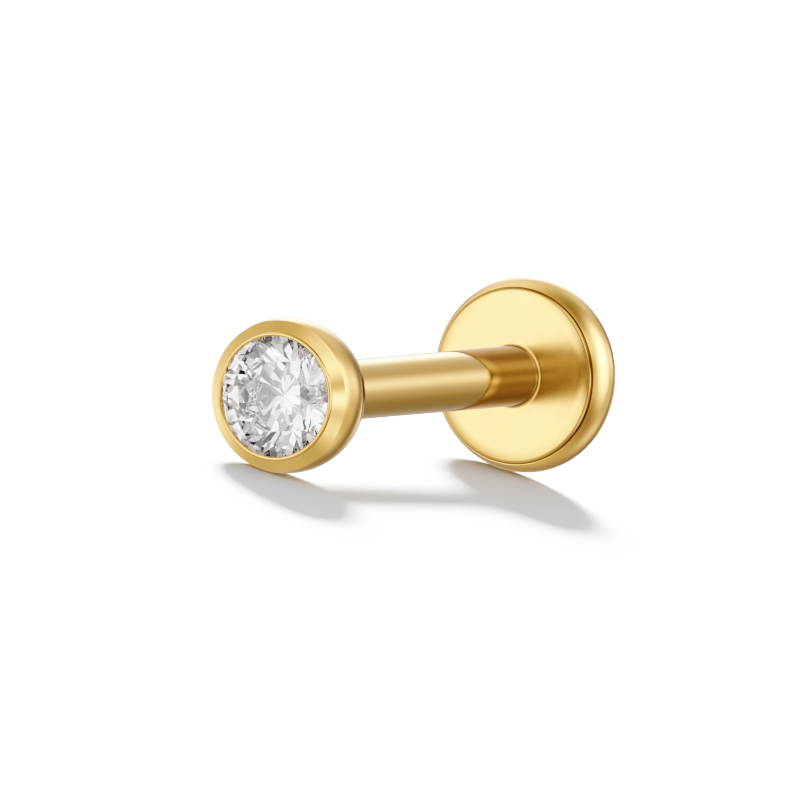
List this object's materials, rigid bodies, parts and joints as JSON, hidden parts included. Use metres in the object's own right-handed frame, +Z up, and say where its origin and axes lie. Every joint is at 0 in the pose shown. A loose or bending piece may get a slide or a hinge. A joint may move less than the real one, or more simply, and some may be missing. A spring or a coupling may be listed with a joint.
{
  "type": "labret stud",
  "caption": "Gold-coloured flat-back labret stud with a ball-shaped bezel head, a round brilliant stone and a hollow post that the head's pin plugs into.",
  "frame": {"origin": "centre of the bounding box on the surface that the stud lies on", "axes": "+Y from the stone's end towards the flat back, close to the post's axis, which leans 2.285 degrees up towards the disc; +Z up; +X to the right of one who looks along +Y"},
  "size_m": [0.0038, 0.0114, 0.0039],
  "materials": {
    "post_gold": "high-polish yellow gold colour",
    "head_gold": "high-polish yellow gold colour",
    "stone": "clear cut cubic zirconia"
  },
  "bodies": {
    "post": {"flat_back_post": "post_gold"},
    "head": {"bezel_head": "head_gold", "stone": "stone"}
  },
  "joints": [
    {"name": "head_pull", "type": "slide", "parent": "post", "child": "head", "axis": [0, -0.9992, -0.0399], "range_m": [0, 0.012]}
  ]
}
